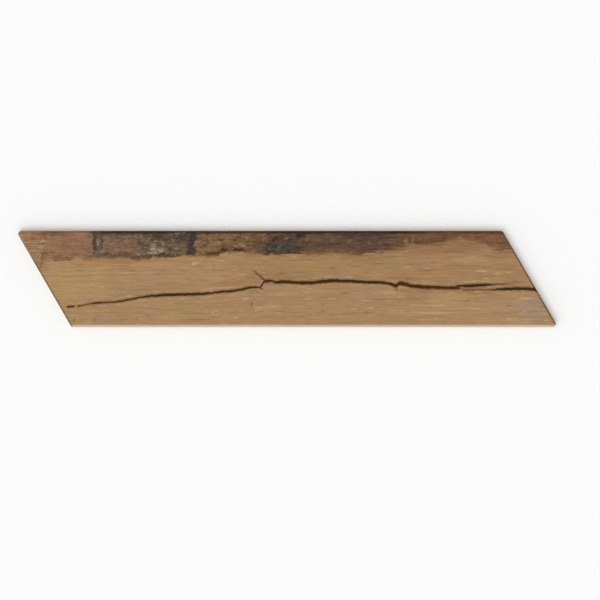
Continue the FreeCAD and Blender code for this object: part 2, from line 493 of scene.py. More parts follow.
def keyingCell(bench, given, number):  # one cell of the back: a grid bent at its rib, mouth and floor
    count = 6  # lines each way, two each for the rib, the mouth and the floor
    half = given.output("Rib pitch") / 2
    mouth = half - given.output("Rib width") / 2
    slope = given.output("Recess draft").math("RADIANS").math("TANGENT")
    floor = mouth - given.output("Recess depth") * slope

    def bent(line):  # the line's place, and whether it lies on the floor
        away = line - (count - 1) / 2
        far = abs(away)  # 0.5 on the floor, 1.5 at the mouth, 2.5 on the rib
        onMouth = far.math("GREATER_THAN", 1.0)
        onRib = far.math("GREATER_THAN", 2.0)
        reach = floor + onMouth * (mouth - floor) + onRib * (half - mouth)
        return away.math("SIGN") * reach, 1 - onMouth

    a, floorA = bent((number / count).math("FLOOR"))
    b, floorB = bent(number.math("MODULO", count))
    sunk = floorA * floorB * given.output("Recess depth")
    place = bench.vector(slanted(a, b) * mm, b * mm, sunk * mm)
    cell = bench.add("GeometryNodeMeshGrid", {}, {"Vertices X": count, "Vertices Y": count})
    cell = bench.add("GeometryNodeSetPosition", {}, {"Geometry": cell, "Position": place})
    cell = bench.add("GeometryNodeFlipFaces", {}, {"Mesh": cell})
    return bench.add("GeometryNodeSetShadeSmooth", {}, {"Geometry": cell, "Shade Smooth": False})


def keyingLattice(bench, given):
    number = bench.add("GeometryNodeInputIndex")
    cell = keyingCell(bench, given, number)
    columns, rows = given.output("Columns"), given.output("Rows")
    column = number.math("MODULO", columns) - (columns - 1) / 2
    row = (number / columns).math("FLOOR") - (rows - 1) / 2
    pitch = given.output("Rib pitch") * mm
    place = bench.vector(slanted(column, row) * pitch, row * pitch)
    spots = bench.add("GeometryNodePoints", {}, {"Count": columns * rows, "Position": place})
    return bench.add("GeometryNodeInstanceOnPoints", {}, {"Points": spots, "Instance": cell})


def reliefTree(material):
    tree = bpy.data.node_groups.new("tileRelief", "GeometryNodeTree")
    tree.is_modifier = True
    columns, rows = latticeCount()
    sizes = {
        "Split depth": split["depth"], "Band depth": weathering["depth"], "Grain depth": grain["depth"],
        "Rib pitch": keying["pitch"], "Rib width": keying["ribWidth"], "Recess depth": keying["depth"],
        "Recess draft": keying["draft"], "Columns": columns, "Rows": rows,
    }
    tree.interface.new_socket("Tile", in_out="INPUT", socket_type="NodeSocketGeometry")
    named = {}
    for name in sizes:
        named[name] = tree.interface.new_socket(name, in_out="INPUT", socket_type="NodeSocketFloat")
    tree.interface.new_socket("Finished tile", in_out="OUTPUT", socket_type="NodeSocketGeometry")
    bench = Bench(tree)
    given = bench.add("NodeGroupInput")
    joined = bench.add("GeometryNodeJoinGeometry")
    for part in (keyingLattice(bench, given), pressedFace(bench, given)):
        tree.links.new(part.socket, joined.socket.node.inputs[0])
    whole = bench.add("GeometryNodeRealizeInstances", {}, {"Geometry": joined})
    whole = bench.add("GeometryNodeMergeByDistance", {},
                      {"Geometry": whole, "Distance": tileMesh["weld"] * mm})
    whole = bench.add("GeometryNodeSetMaterial", {}, {"Geometry": whole, "Material": material})
    bench.add("NodeGroupOutput", {}, {0: whole})
    return tree, {named[name].identifier: value for name, value in sizes.items()}


def makeTile(material):
    mesh = makeTileMesh()
    tile = bpy.data.objects.new("printed_tile", mesh)
    bpy.context.scene.collection.objects.link(tile)
    tree, values = reliefTree(material)
    modifier = tile.modifiers.new("relief", "NODES")
    modifier.node_group = tree
    for identifier, value in values.items():
        modifier[identifier] = float(value)
    graph = bpy.context.evaluated_depsgraph_get()
    finished = bpy.data.meshes.new_from_object(tile.evaluated_get(graph))
    tile.modifiers.remove(modifier)
    tile.data = finished
    bpy.data.meshes.remove(mesh)
    triangles = sum(len(part.vertices) - 2 for part in finished.polygons)
    print(f"relief pressed: {triangles} triangles")
    return tile


# Colours of the print and the fired body

glaze = {
    "sheen": 0.012, "specular": 0.12,
    "rough": 0.47, "wornRough": 0.14, "splitRough": 0.3, "fibreRough": 0.12, "clayRough": 0.88,
    "splitCut": (-0.2, 0.6),
    "bump": 0.6, "bumpDepth": 0.12, "fibreBump": 0.5,
}


def paint(red, green, blue):  # sRGB 0 to 255 to the linear colour that a shader takes
    def linear(value):
        share = value / 255
        return share / 12.92 if share <= 0.04045 else ((share + 0.055) / 1.055) ** 2.4
    return (linear(red), linear(green), linear(blue), 1.0)


def ink(red, green, blue):  # paint, less the white that the glaze's sheen lays over it
    return tuple(max(channel - glaze["sheen"], 0.001) for channel in paint(red, green, blue)[:3]) + (1.0,)


def mixInks(colours):
    return {name: ink(*colour) for name, colour in colours.items()}


oak = {
    "inks": {
        "olive": (161, 131, 90), "pink": (167, 130, 98),  # the two hues that the wood drifts between
        "straw": (178, 147, 97), "orange": (180, 129, 83), "blush": (182, 139, 109),
        "rose": (202, 154, 125), "moss": (156, 129, 80), "lime": (182, 161, 96), "ash": (156, 134, 120),
        "shade": (148, 116, 79), "amber": (158, 116, 77), "cream": (201, 168, 131),
        "umber": (122, 89, 56), "dark": (136, 102, 68), "dusk": (140, 103, 71),
    },
    "patterns": {
        "drift": (110.0, 30.0, 41.0, 2.0, 0.5), "jag": (4.0, 2.0, 43.0, 3.0, 0.6),
        "busy": (60.0, 16.0, 39.0, 2.0, 0.5),
    },
    "grainPatterns": {  # these follow the grain as it wanders
        "hue": (26.0, 8.0, 31.0, 3.0, 0.6), "feather": (16.0, 1.6, 35.0, 3.0, 0.6),
        "band": (70.0, 1.9, 36.0, 3.0, 0.5), "streak": (16.0, 1.1, 32.0, 3.0, 0.6),
        "fibre": (9.0, 0.4, 34.0, 2.0, 0.6), "pore": (7.0, 0.6, 33.0, 1.0, 0.5),
        "fleck": (10.0, 1.5, 37.0, 1.0, 0.5), "dash": (12.0, 1.3, 42.0, 1.0, 0.5),
    },
    "drift": 9.0,  # how far the grain wanders across the tile
    "arch": [(70, 0.0), (100, 3.0), (140, 7.0), (165, 5.0), (205, -3.0)],  # its rise towards the band
    "archCut": (-2.0, 30.0), "hueCut": (-0.2, 0.2), "busyCut": (-0.1, 0.1), "fleckCut": (0.1, 0.24),
    "bands": 0.55, "streaks": 0.55, "fibres": 0.4, "pores": 0.3, "flecks": 0.5, "dashes": 0.45,
    "poresInBands": 0.4,  # how much the pores gather in the pale bands
    "calm": 0.5,  # how far the dashes thin out where the flecks gather
    "poreSink": 0.4,  # how far a pore lies below the fibres
    "toneStray": (45.0, 9.0), "markStray": (6.0, 2.0),  # how far the edges of the dabs stray
    "tones": [  # broad, soft areas
        ("straw", (-182, -4), (34, 18), 0.4),
        ("blush", (-197, 9), (9, 9), 0.4),
        ("dusk", (-205, 13), (7, 8), 0.5),
        ("orange", (-142, 12.5), (46, 3.2), 0.4),
        ("dusk", (-140, 15.4), (26, 2.4), 0.4),
        ("lime", (-159.5, 2), (3.4, 7), 0.25),
        ("lime", (-155, 8.4), (5, 1.6), 0.3),
        ("blush", (-137.5, 1), (4, 8), 0.4),
        ("blush", (-116, 2), (16, 8), 0.3),
        ("straw", (-177, -33), (9, 5), 0.35),
        ("ash", (-152, -33), (7, 3.6), 0.4),
        ("blush", (-160, -27), (13, 2), 0.35),
        ("orange", (-97, 12.6), (9, 1.4), 0.45),
        ("blush", (-80, 2), (24, 7), 0.25),
        ("shade", (30, 10), (72, 14), 0.3),
        ("shade", (150, 8), (58, 12), 0.35),
        ("shade", (10, -22), (46, 14), 0.15),
        ("cream", (140, -22), (70, 12), 0.1),
        ("amber", (-42, -3.5), (15, 5), 0.65),
        ("dusk", (-14, 1), (24, 6), 0.45),
        ("dusk", (-14, -4.5), (6, 2), 0.6),
        ("dusk", (-26, -10.4), (8, 2.2), 0.35),
        ("dusk", (-32, 20), (10, 2.6), 0.4),
        ("dusk", (-5, 18.6), (8, 1.6), 0.5),
        ("dusk", (16, 19.4), (8, 1.6), 0.4),
        ("dusk", (14, 0.5), (14, 2.6), 0.35),
        ("cream", (-15, -24.5), (9, 4), 0.2),
        ("straw", (-95, -32), (12, 5), 0.4),
        ("moss", (-85, -21), (3, 4), 0.4),
        ("ash", (-14.5, -6.8), (5.5, 3.2), 0.55),
        ("straw", (-2, -13), (11, 3), 0.4),
        ("moss", (25, 10), (12, 8), 0.45),
        ("blush", (54, 11), (13, 7), 0.2),
        ("dusk", (54, 18.5), (12, 6), 0.4),
        ("dusk", (72, 21), (16, 6), 0.5),
        ("dusk", (125, 28), (48, 9), 0.75),
        ("dusk", (178, 20.5), (13, 4.5), 0.5),
        ("moss", (78, 11), (14, 6), 0.45),
        ("orange", (86, 3), (28, 2.6), 0.4),
        ("straw", (16, -10), (24, 5), 0.25),
        ("blush", (20, -26), (27, 9), 0.2),
        ("rose", (81, -11.3), (8, 2.6), 0.3),
        ("shade", (80, -20), (12, 3), 0.4),
        ("amber", (81, -16.8), (8, 2.2), 0.4),
        ("straw", (101, -25), (15, 8), 0.25),
        ("shade", (105, -18), (16, 5), 0.45),
        ("orange", (123, 16), (8, 9), 0.25),
        ("dusk", (95, 0), (16, 2.6), 0.45),
        ("dusk", (115, 10.5), (10, 4), 0.25),
        ("dusk", (135, -4.2), (9, 1.6), 0.45),
        ("cream", (193, -34.5), (12, 3), 0.2),
        ("dusk", (115, -9.8), (34, 2.8), 0.5),
        ("dusk", (165, -10.4), (14, 3), 0.5),
        ("cream", (152, 15.4), (18, 2.6), 0.2),
        ("shade", (164, -14), (20, 4), 0.45),
        ("dusk", (145, -10.4), (10, 2.2), 0.5),
        ("dusk", (190, -4.4), (13, 3.2), 0.75),
        ("orange", (124, 2), (20, 2.8), 0.45),
        ("moss", (127, -1), (11, 1.4), 0.4),
        ("straw", (165, -1.4), (13, 0.9), 0.5),
        ("amber", (188, 6), (15, 8), 0.3),
        ("straw", (137, -14.5), (24, 4), 0.3),
        ("ash", (205, -25), (15, 10), 0.5),
        ("moss", (110, -18), (7, 1.3), 0.5),
    ],
    "marks": [  # small dashes, pale and dark
        ("cream", (-77.7, 12.9), (1.7, 1.4), 0.6),
        ("blush", (-57.5, 12.6), (5.5, 0.9), 0.5),
        ("cream", (-42, -32), (1.7, 1.2), 0.4),
        ("cream", (17.8, -16.4), (3.6, 0.8), 0.45),
        ("cream", (36.8, -16.4), (3.4, 0.8), 0.4),
        ("cream", (68.5, -24), (3.4, 1.0), 0.45),
        ("cream", (100.5, 9.8), (3.6, 0.8), 0.5),
        ("cream", (161.5, 6.7), (6, 1.0), 0.45),
        ("rose", (176, 4.6), (4.5, 0.9), 0.6),
        ("cream", (122, -22), (15, 0.8), 0.4),
        ("cream", (122, -28), (15, 0.9), 0.4),
        ("cream", (155, -25), (6, 0.9), 0.4),
        ("cream", (118, -33.6), (11, 0.8), 0.4),
        ("cream", (68, 21.3), (5.6, 0.9), 0.6),
        ("rose", (198.5, -16), (7.5, 1.3), 0.55),
        ("ash", (-52.8, 21.2), (3.4, 1.0), 0.7),
        ("umber", (-177, -34.5), (1.0, 2.2), 0.55),
        ("umber", (-160, -33.6), (1.0, 2.0), 0.35),
        ("umber", (-124.5, -33), (1.2, 2.4), 0.35),
        ("umber", (-29.4, -21.2), (0.8, 3.2), 0.7),
        ("umber", (-75, -33.8), (13, 0.7), 0.5),
        ("umber", (-80, -28.9), (14, 0.5), 0.3),
        ("umber", (38, 8.9), (4.6, 0.7), 0.45),
        ("umber", (75.5, 12.8), (5, 0.7), 0.4),
        ("umber", (100.5, 12), (3.2, 0.7), 0.4),
        ("umber", (48, -11.7), (4.8, 0.7), 0.45),
        ("umber", (30, -26.8), (2.6, 1.0), 0.35),
        ("umber", (67, -27.8), (2.8, 1.2), 0.4),
        ("umber", (139, 11), (9, 0.7), 0.35),
        ("umber", (155, 11), (6, 0.7), 0.35),
        ("umber", (120, -31), (16, 0.6), 0.3),
        ("umber", (184.3, -22), (1.6, 0.9), 0.5),
        ("umber", (-191, 15.4), (2.8, 1.0), 0.7),
        ("umber", (-124, 16.4), (2.0, 0.9), 0.7),
    ],
    "eyes": [  # small knots, ringed: centre, reach, ring spacing
        ((-65.5, 10.7), 6.5, 4.2),
        ((-58.5, -27.7), 6.0, 4.0),
    ],
    "eyeStray": (6.0, 6.0), "eyeStretch": 1.25,
    "eyeHeart": 0.3,  # share of the reach over which the rings are full
    "eyeBreakCut": (-0.12, 0.1), "paleRingCut": (0.0, 1.0), "darkRingCut": (0.2, 1.0),
    "eyeStrength": 0.35,
}


def inkEyes(bench, x, y, jag, colour, tint):
    strayX, strayY = strayed(x, y, (jag, oak["eyeStray"]))
    for (eyeX, eyeY), reach, spacing in oak["eyes"]:
        away = bench.distance((strayX - eyeX) / oak["eyeStretch"], strayY - eyeY)
        ring = (away * (2 * math.pi / spacing)).math("COSINE")
        fading = 1 - bench.ramp(away, reach * oak["eyeHeart"], reach)
        broken = fading * bench.ramp(jag, *oak["eyeBreakCut"]) * oak["eyeStrength"]
        colour = bench.blend(bench.ramp(-ring, *oak["paleRingCut"]) * broken, colour, tint["cream"])
        colour = bench.blend(bench.ramp(ring, *oak["darkRingCut"]) * broken, colour, tint["umber"])
    return colour


def oakPrint(bench, x, y):
    tint = mixInks(oak["inks"])
    loose = bench.noises(x, y, oak["patterns"])
    arch = bench.along(x, oak["arch"]) * bench.ramp(y, *oak["archCut"])
    flow = y - arch + loose["drift"] * oak["drift"]
    grained = bench.noises(x, flow, oak["grainPatterns"])
    jag, band, fibre = loose["jag"], grained["band"], grained["fibre"]
    busy = bench.ramp(loose["busy"], *oak["busyCut"])
    pore = bench.ramp(grained["pore"] + band * oak["poresInBands"], *oak["fleckCut"])
    fleck = bench.ramp(grained["fleck"], *oak["fleckCut"])
    dash = bench.ramp(grained["dash"], *oak["fleckCut"])
    colour = bench.blend(bench.ramp(grained["hue"], *oak["hueCut"]), tint["olive"], tint["pink"])
    tonePlace = bench.vector(*strayed(x, y, (grained["feather"], oak["toneStray"])))
    colour = bench.dab(colour, tonePlace, oak["tones"], tint)
    colour = inkEyes(bench, x, y, jag, colour, tint)
    colour = bench.blend(pore * oak["pores"], colour, tint["dark"])
    colour = bench.blend(fleck * busy * oak["flecks"], colour, tint["cream"])
    colour = bench.blend(dash * (1 - busy * oak["calm"]) * oak["dashes"], colour, tint["umber"])
    markPlace = bench.vector(*strayed(x, y, (jag, oak["markStray"])))
    colour = bench.dab(colour, markPlace, oak["marks"], tint)
    lines = band * oak["bands"] + grained["streak"] * oak["streaks"] + fibre * oak["fibres"]
    return bench.shade(colour, lines), fibre - pore * oak["poreSink"]


stains = {
    "inks": {
        "tan": (152, 120, 92), "rust": (142, 109, 84), "umber": (121, 96, 77), "char": (68, 60, 55),
        "moss": (104, 87, 69), "pitch": (50, 43, 39), "plum": (68, 54, 54), "ochre": (117, 89, 63),
        "soot": (83, 66, 55), "cocoa": (95, 74, 60), "grey": (89, 71, 58), "russet": (107, 79, 60),
        "fawn": (117, 84, 61), "sand": (180, 150, 119), "brick": (142, 98, 78), "sienna": (116, 82, 54),
        "peat": (116, 91, 59), "bog": (84, 67, 44), "stone": (98, 86, 74), "maroon": (82, 54, 47),
        "garnet": (64, 36, 34), "dust": (165, 151, 131), "ash": (119, 92, 77), "lichen": (116, 99, 62),
        "tawny": (124, 84, 48), "slate": (63, 60, 55), "teal": (82, 90, 86), "henna": (104, 67, 43),
        "fringe": (126, 92, 66),
    },
    "patterns": {
        "feather": (26.0, 1.5, 61.0, 3.0, 0.6), "jag": (5.0, 3.0, 62.0, 4.0, 0.7),
        "blotch": (8.0, 4.5, 64.0, 3.0, 0.6), "speck": (2.6, 1.6, 63.0, 2.0, 0.6),
        "warm": (10.0, 3.6, 65.0, 2.0, 0.5),
    },
    "washFeather": (40.0, 6.0), "washJag": (8.0, 6.0),  # how far the edges of the washes stray
    "dabJag": (8.0, 5.0), "dabSpeck": (6.0, 5.0),  # and those of the dabs
    "washes": [  # broad and streaky: stain, from left to right, from low to high, softness, strength
        ("tan", (-240, -200), (0, 50), 4.0, 1.0),
        ("rust", (-200, -158), (0, 50), 4.0, 1.0),
        ("umber", (-156, -118), (0, 50), 4.0, 1.0),
        ("moss", (-121, -75), (0, 50), 5.0, 1.0),
        ("ochre", (-75, -19), (0, 50), 3.0, 1.0),
        ("soot", (-19, 14), (0, 50), 2.0, 1.0),
        ("cocoa", (13, 56), (0, 50), 4.0, 1.0),
        ("grey", (52, 90), (0, 50), 6.0, 1.0),
        ("russet", (88, 140), (0, 50), 8.0, 1.0),
        ("fawn", (138, 230), (0, 50), 6.0, 1.0),
        ("char", (-154, -118), (36.4, 50), 1.2, 0.8),
        ("char", (-119, -76), (34, 50), 2.5, 0.8),
        ("fringe", (14, 62), (16, 23.5), 2.0, 0.8),
    ],
    "dabs": [  # stain, middle, reach each way, strength
        ("sienna", (-207, 37.2), (7.5, 1.0), 0.6),
        ("sienna", (-201.8, 36), (2.8, 3.4), 0.65),
        ("brick", (-210, 35.6), (5.5, 1.8), 0.5),
        ("sienna", (-208, 33), (14, 0.8), 0.5),
        ("sand", (-203.5, 31.2), (5.5, 0.9), 0.6),
        ("sand", (-205, 26.6), (2.6, 1.3), 0.65),
        ("sand", (-212, 22.8), (3, 2), 0.45),
        ("brick", (-175, 37.3), (13, 1.5), 0.5),
        ("char", (-163, 37), (3.4, 2), 0.3),
        ("peat", (-184, 29), (4, 9), 0.2),
        ("sienna", (-199.5, 21.7), (6.5, 1.2), 0.85),
        ("sienna", (-190.5, 18.6), (3.2, 1.1), 0.75),
        ("peat", (-182, 17.2), (6.5, 1.5), 0.7),
        ("sienna", (-165, 17.8), (4.4, 1.2), 0.7),
        ("stone", (-157.4, 29), (4.0, 14), 0.85),
        ("pitch", (-160.4, 31), (1.6, 11), 0.75),
        ("pitch", (-154.2, 31), (1.0, 10), 0.6),
        ("char", (-158, 38.4), (5, 1.8), 0.8),
        ("pitch", (-157.6, 24.5), (1.6, 1.8), 0.5),
        ("dust", (-157.3, 30.5), (1.1, 2.4), 0.55),
        ("dust", (-156.8, 22), (2.0, 2.0), 0.2),
        ("dust", (-153.4, 23.5), (1.3, 1.8), 0.25),
        ("bog", (-151, 20.6), (3.2, 1.5), 0.75),
        ("bog", (-155, 19.8), (4.4, 1.8), 0.4),
        ("bog", (-142, 19.4), (5.5, 1.2), 0.7),
        ("bog", (-117, 18.9), (6, 1.3), 0.6),
        ("bog", (-109.5, 18.7), (5, 0.9), 0.6),
        ("bog", (-133, 20.6), (5, 2.2), 0.7),
        ("bog", (-126, 18.4), (4.4, 1.6), 0.7),
        ("brick", (-146, 30), (4, 3), 0.35),
        ("sand", (-142, 25), (3, 1.6), 0.25),
        ("ash", (-127, 34.6), (8, 1.4), 0.5),
        ("maroon", (-119.5, 25.6), (1.8, 1.6), 0.75),
        ("dust", (-123.2, 21), (1.4, 1.1), 0.55),
        ("dust", (-109.5, 23.8), (6, 3.6), 0.35),
        ("dust", (-108.3, 31.8), (2.4, 1.3), 0.35),
        ("dust", (-103.8, 29.4), (1.5, 2.6), 0.25),
        ("dust", (-111, 27), (3.4, 3), 0.45),
        ("dust", (-105, 23.4), (2.6, 1.9), 0.55),
        ("dust", (-112.5, 21.3), (3.8, 1.7), 0.55),
        ("dust", (-107.5, 22), (2.6, 1.7), 0.4),
        ("bog", (-107.6, 28.2), (1.7, 2.8), 0.6),
        ("bog", (-100.5, 29), (2.6, 3.4), 0.6),
        ("bog", (-98.5, 19.9), (10, 1.5), 0.9),
        ("bog", (-95, 30.5), (5, 3), 0.35),
        ("dust", (-94.5, 33.8), (2.4, 1.2), 0.5),
        ("dust", (-91.2, 37.6), (1.4, 1.8), 0.5),
        ("dust", (-86, 38.4), (1.6, 1.0), 0.3),
        ("dust", (-91, 25.2), (3, 1.8), 0.4),
        ("char", (-86, 34.5), (6, 4.5), 0.7),
        ("plum", (-79.6, 28), (4.6, 11), 0.95),
        ("pitch", (-82, 22), (2.2, 1.8), 0.5),
        ("dust", (-75.8, 29.5), (1.2, 2.4), 0.3),
        ("dust", (-75.2, 20.8), (1.4, 1.1), 0.55),
        ("brick", (-68, 32.4), (6.5, 3.8), 0.6),
        ("lichen", (-70.6, 23.8), (4.4, 3.4), 0.75),
        ("sand", (-63.5, 28), (1.6, 1.2), 0.3),
        ("sand", (-50, 35.6), (9, 0.9), 0.15),
        ("bog", (-53, 33.4), (6, 0.9), 0.5),
        ("sand", (-49.5, 31.4), (8, 0.9), 0.12),
        ("bog", (-60, 27), (5, 0.9), 0.3),
        ("sand", (-60, 29.6), (6, 1.6), 0.3),
        ("sand", (-34, 34.8), (5, 0.8), 0.3),
        ("bog", (-36, 36.6), (5, 0.7), 0.35),
        ("bog", (-51.5, 26.8), (4.4, 0.9), 0.5),
        ("tawny", (-43.5, 32.7), (3.2, 1.4), 0.6),
        ("bog", (-30, 32.1), (5.4, 1.2), 0.6),
        ("tawny", (-26.5, 29.4), (2, 1.6), 0.6),
        ("bog", (-63, 21.2), (5.4, 1.8), 0.85),
        ("pitch", (-58, 22), (4, 1.5), 0.85),
        ("pitch", (-51.8, 24.5), (4.6, 1.6), 0.9),
        ("garnet", (-41.5, 24.3), (5.8, 1.1), 0.9),
        ("sand", (-42.5, 27.2), (1.6, 0.8), 0.4),
        ("sand", (-36, 27.4), (1.8, 0.8), 0.4),
        ("bog", (-31.5, 27.6), (1.4, 1.0), 0.6),
        ("ash", (-27, 24), (9, 2.2), 0.35),
        ("soot", (-23, 28), (6, 7), 0.55),
        ("slate", (0, 26.4), (14, 4.6), 0.7),
        ("slate", (-11, 25.2), (5, 4.2), 0.75),
        ("pitch", (3, 26.4), (9, 1.6), 0.4),
        ("teal", (-9.5, 25.3), (5.5, 2.6), 0.36),
        ("teal", (3, 26), (5, 1.8), 0.25),
        ("dust", (-14.5, 24.6), (1.0, 0.9), 0.35),
        ("dust", (-6.5, 26.6), (1.4, 0.8), 0.25),
        ("pitch", (-8, 34.4), (3, 1.0), 0.55),
        ("pitch", (-12.5, 31), (2.6, 0.9), 0.5),
        ("pitch", (2.6, 33), (1.6, 1.0), 0.45),
        ("garnet", (8.6, 36.6), (2.2, 2.0), 0.6),
        ("pitch", (13.6, 33), (1.0, 3.6), 0.5),
        ("brick", (-7, 37), (8, 1.0), 0.3),
        ("pitch", (-16.8, 25.4), (1.7, 4.4), 0.75),
        ("pitch", (-15.8, 21.2), (1.6, 1.2), 0.7),
        ("pitch", (1, 22.2), (2, 1.2), 0.6),
        ("dust", (-13, 20.6), (1.6, 0.7), 0.4),
        ("plum", (10.5, 36), (4, 3.2), 0.7),
        ("plum", (13, 28), (4, 4.5), 0.45),
        ("dust", (-17.8, 37.3), (1.4, 0.9), 0.3),
        ("dust", (-0.6, 33.6), (1.6, 1.1), 0.2),
        ("tawny", (16.4, 21.9), (2.8, 1.0), 0.8),
        ("soot", (31, 29), (10, 2.8), 0.7),
        ("fringe", (23, 32.7), (8, 0.9), 0.4),
        ("dust", (38.5, 32.7), (2.0, 1.2), 0.18),
        ("dust", (51.6, 31.4), (1.8, 1.2), 0.2),
        ("bog", (52, 29.2), (2.2, 1.0), 0.5),
        ("bog", (44, 29.8), (5, 0.8), 0.45),
        ("dust", (69, 29.4), (1.8, 1.0), 0.2),
        ("peat", (44, 33), (6, 1.6), 0.35),
        ("plum", (58, 37), (24, 2.4), 0.75),
        ("soot", (66, 23.8), (6, 1.3), 0.8),
        ("plum", (65, 31), (7, 3.4), 0.4),
        ("henna", (83.5, 25.9), (5.6, 1.0), 0.75),
        ("soot", (91.5, 32), (6.6, 1.2), 0.65),
        ("peat", (92, 28.2), (7, 1.6), 0.6),
        ("sand", (99.5, 31), (1.1, 5), 0.25),
        ("soot", (102, 32), (1.1, 5), 0.35),
        ("sand", (104.6, 30.5), (1.1, 4), 0.25),
        ("soot", (107.4, 33), (1.2, 4), 0.3),
        ("henna", (117, 29.8), (10, 1.0), 0.7),
        ("henna", (129.3, 32.6), (4, 1.2), 0.75),
        ("henna", (137, 36.6), (8, 2), 0.55),
        ("sand", (143.5, 34.2), (2.2, 1.8), 0.35),
        ("henna", (157, 30.6), (10, 0.9), 0.6),
        ("henna", (177.3, 29.9), (4.4, 0.9), 0.65),
        ("henna", (177.3, 25.4), (4.4, 1.0), 0.6),
        ("henna", (184.4, 25.6), (2.4, 1.1), 0.5),
        ("fringe", (178, 27.2), (10, 2), 0.6),
    ],
    "topEdge": [(-226, 0.1), (-190, 0.2), (-165, 0.3), (-152, 0.9), (-20, 0.85), (10, 0.95), (90, 0.95),
                (118, 0.75), (135, 0.5), (200, 0.5)],  # how dark the strip along the top edge is: partly the print's black band, partly painted shade on the edge
    "mottle": [(-226, 0.5), (-168, 0.5), (-155, 0.9), (-126, 1.1), (-114, 2.0), (-80, 1.8), (10, 1.6),
               (25, 0.8), (190, 0.6)],
    "streaky": [(-226, 2.2), (-190, 1.6), (-165, 1.1), (-120, 0.7), (-75, 0.8), (-20, 0.9), (16, 1.4),
                (190, 1.5)],
    "topCut": (36.6, 38.8), "topJag": 3.0,
    "streaks": 1.2, "blotches": 1.5, "specks": 1.1, "hues": 0.4, "hueCut": (0.02, 0.22),
}


def weatheredPrint(bench, field):
    x, y = field["x"], field["y"]
    tint = mixInks(stains["inks"])
    noise = bench.noises(x, y, stains["patterns"])
    feather, jag, speck, warm = noise["feather"], noise["jag"], noise["speck"], noise["warm"]
    colour = tint["rust"]
    washX, washY = strayed(x, y, (feather, stains["washFeather"]), (jag, stains["washJag"]))
    for name, (left, right), (low, high), soft, strength in stains["washes"]:
        here = bench.within(washX, left, right, soft) * bench.within(washY, low, high, soft)
        colour = bench.blend(here * strength, colour, tint[name])
    for name, hue in (("brick", warm), ("peat", -warm)):
        colour = bench.blend(bench.ramp(hue, *stains["hueCut"]) * stains["hues"], colour, tint[name])
    # a dark strip along the top edge: partly print, partly painted shade
    atTop = bench.ramp(y + jag * stains["topJag"], *stains["topCut"])
    colour = bench.blend(atTop * bench.along(x, stains["topEdge"]), colour, tint["pitch"])
    dabPlace = bench.vector(*strayed(x, y, (jag, stains["dabJag"]), (speck, stains["dabSpeck"])))
    colour = bench.dab(colour, dabPlace, stains["dabs"], tint)
    spots = noise["blotch"] * stains["blotches"] + speck * stains["specks"]
    mottle = bench.along(x, stains["mottle"]) * spots
    return bench.shade(colour, mottle + bench.along(x, stains["streaky"]) * feather * stains["streaks"])


splitInk = {
    "inks": {"dark": (61, 47, 32), "red": (78, 48, 29), "halo": (118, 84, 53), "lip": (192, 164, 132)},
    "ruddy": [(-184, 0.8), (-160, 0.6), (-125, 0.5), (-112, 0.1), (-40, 0.0), (-26, 0.1), (-17, 0.9),
              (-8, 0.5), (12, 0.6), (26, 0.5), (36, 0.0), (76, 0.1), (88, 0.3), (95, 0.9), (115, 0.6),
              (136, 0.7), (146, 0.2), (180, 0.0), (203, 0.1), (210, 0.9)],  # where the split is redder
    "edgeCut": (-0.3, 0.7),
    "haloCut": (-1.5, 0.2), "haloStrength": 0.55,
    "lipReach": (3.0, 1.7, 0.9), "lipStrength": 0.5,  # the pale rim, a painted highlight along the split's edges: from, strongest, to
    "lipBreaks": (9.0, 3.0, 71.0, 3.0, 0.5), "lipBreakCut": (-0.05, 0.15),
}


def inkSplit(bench, field, colour):
    x, y, gap = field["x"], field["y"], field["gap"]
    tint = mixInks(splitInk["inks"])
    hollow = bench.blend(bench.along(x, splitInk["ruddy"]), tint["dark"], tint["red"])
    # painted highlight: a pale rim along both edges of the split
    far, full, near = splitInk["lipReach"]
    lip = bench.ramp(gap, -far, -full) * (1 - bench.ramp(gap, -full, -near))
    lip = lip * bench.ramp(bench.noise(x, y, splitInk["lipBreaks"]), *splitInk["lipBreakCut"])
    colour = bench.blend(lip * splitInk["lipStrength"], colour, tint["lip"])
    halo = bench.ramp(gap, *splitInk["haloCut"]) * splitInk["haloStrength"]
    colour = bench.blend(halo, colour, tint["halo"])
    return bench.blend(bench.ramp(gap, *splitInk["edgeCut"]), colour, hollow)


scratches = {
    "brown": (108, 78, 50),
    "marks": [  # from, to, width, strength
        ((-202.8, 21.0), (-205.3, 9.5), 2.0, 0.7),
        ((-199.8, 20.5), (-203.0, 13.0), 1.6, 0.45),
    ],
    "jag": (4.0, 2.0, 43.0, 3.0, 0.6), "stray": (6.0, 2.0),
    "edgeCut": (-0.8, 0.6),
}


def inkScratches(bench, x, y, colour):
    brown = ink(*scratches["brown"])
    strayX, strayY = strayed(x, y, (bench.noise(x, y, scratches["jag"]), scratches["stray"]))
    for start, end, width, strength in scratches["marks"]:
        gap = tickGap(bench, strayX, strayY, (start, end, width))
        colour = bench.blend(bench.ramp(gap, *scratches["edgeCut"]) * strength, colour, brown)
    return colour


rims = {  # the print along the tile's edges, with a painted highlight along the long sides and painted shade along the ends
    "arris": (208, 184, 156), "arrisStrength": 0.9,  # thin ink along the long sides, which also paints the arris highlight
    "arrisFrom": 0.9, "arrisPast": 0.8,  # it fades out from here to this far past the arris
    "end": (92, 73, 52), "endCut": (0.5, 2.0), "endStrength": 0.8,  # painted shade: darker along the cut ends
    "drop": 2.9, "dropCut": (-0.2, 0.2),  # how far down the sides the print runs
    "jag": (6.0, 6.0, 91.0, 3.0, 0.5), "stray": 1.2,
}


